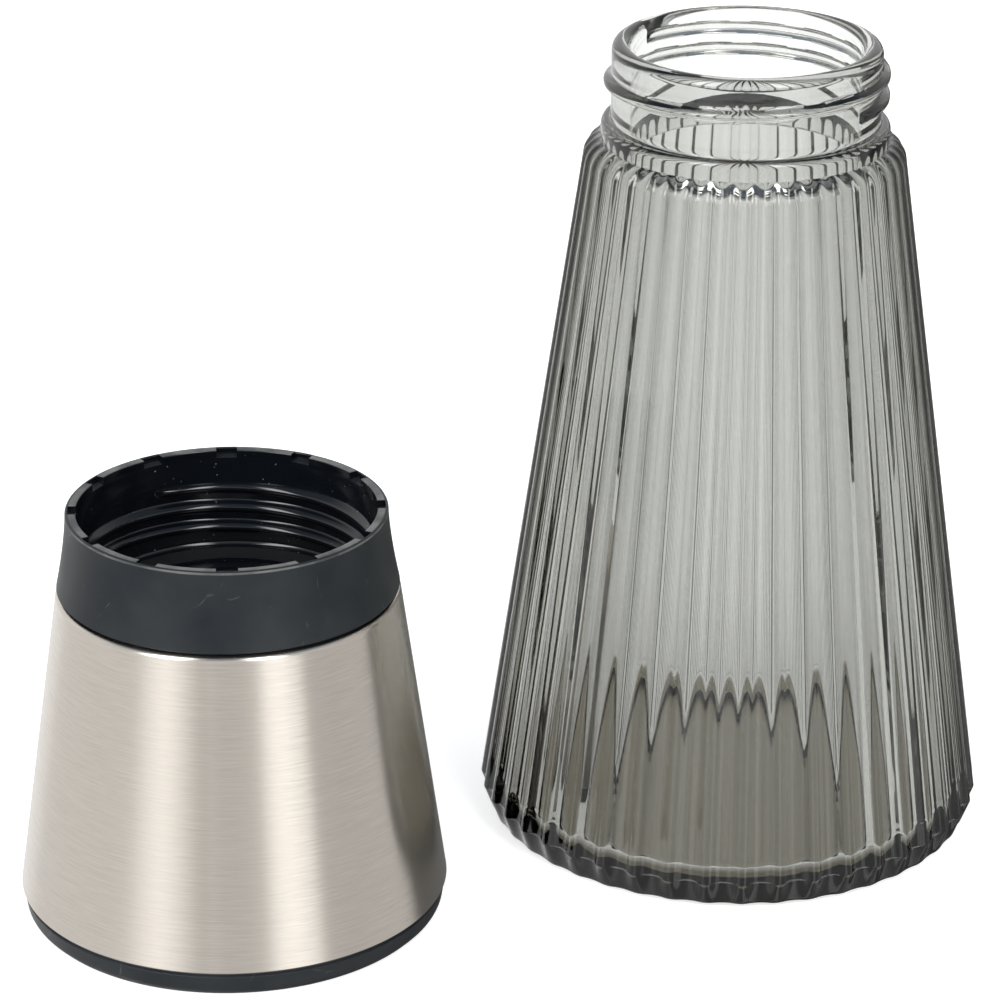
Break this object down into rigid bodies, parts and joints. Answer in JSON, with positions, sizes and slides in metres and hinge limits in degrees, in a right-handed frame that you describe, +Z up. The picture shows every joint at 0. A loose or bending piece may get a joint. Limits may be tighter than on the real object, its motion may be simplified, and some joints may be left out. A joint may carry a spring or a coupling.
{
  "type": "salt and pepper mill",
  "caption": "Hand mill taken apart for filling: a fluted smoke-glass jar with a screw neck, and a steel-sleeved grinder head with a threaded collar and adjustable ceramic burrs.",
  "frame": {"origin": "centre of the jar's flat underside, on the surface that the jar and the head both stand on", "axes": "+Z up along the jar's axis; the head stands towards -X and -Y, so +X runs from the head to the jar"},
  "size_m": [0.1433, 0.1018, 0.1213],
  "materials": {
    "smoke_glass": "clear pressed glass with a light smoke-grey tint",
    "charcoal_plastic": "satin moulded ABS",
    "black_plastic": "polished moulded ABS",
    "black_silicone": "matt silicone",
    "white_plastic": "slippery moulded acetal",
    "brushed_steel": "brushed round the cone, clear of lacquer",
    "plated_steel": "bright zinc plate",
    "spring_steel": "drawn wire and strip",
    "white_ceramic": "sintered alumina with a dull sheen",
    "brass": "turned"
  },
  "bodies": {
    "jar": {"glass_jar": "smoke_glass"},
    "collar": {"threaded_collar": "charcoal_plastic", "neck_seal": "black_silicone", "slide_washer": "white_plastic", "retaining_clip": "spring_steel", "grinder_bolt": "plated_steel", "bolt_washer": "plated_steel", "cone_spring": "spring_steel"},
    "shell": {"steel_shell": "brushed_steel", "shell_liner": "black_plastic", "base_ring": "charcoal_plastic", "burr_housing": "black_plastic", "ceramic_ring": "white_ceramic", "ring_clamp": "black_plastic", "housing_screws": "plated_steel", "clamp_screws": "plated_steel"},
    "cone": {"ceramic_cone": "white_ceramic", "cone_core": "black_plastic", "knob_washer": "plated_steel"},
    "knob": {"adjuster_knob": "charcoal_plastic", "knob_nut": "brass"}
  },
  "joints": [
    {"name": "head_lift", "type": "slide", "parent": "jar", "child": "collar", "axis": [0, 0, 1], "range_m": [0, 0.13]},
    {"name": "shell_turn", "type": "hinge", "parent": "collar", "child": "shell", "pos_m": [-0.0741, -0.0326, 0.042], "axis": [0, 0, 1], "continuous": true},
    {"name": "cone_lift", "type": "slide", "parent": "collar", "child": "cone", "axis": [0, 0, 1], "range_m": [0, 0.0015], "deforming": ["cone_spring"]},
    {"name": "knob_turn", "type": "hinge", "parent": "cone", "child": "knob", "pos_m": [-0.0741, -0.0326, 0.0118], "axis": [0, 0, 1], "range_deg": [0, 360]}
  ],
  "couplings": [
    {"joint": "knob_turn", "follows": "cone_lift", "rad_per_m": 4188.8}
  ]
}
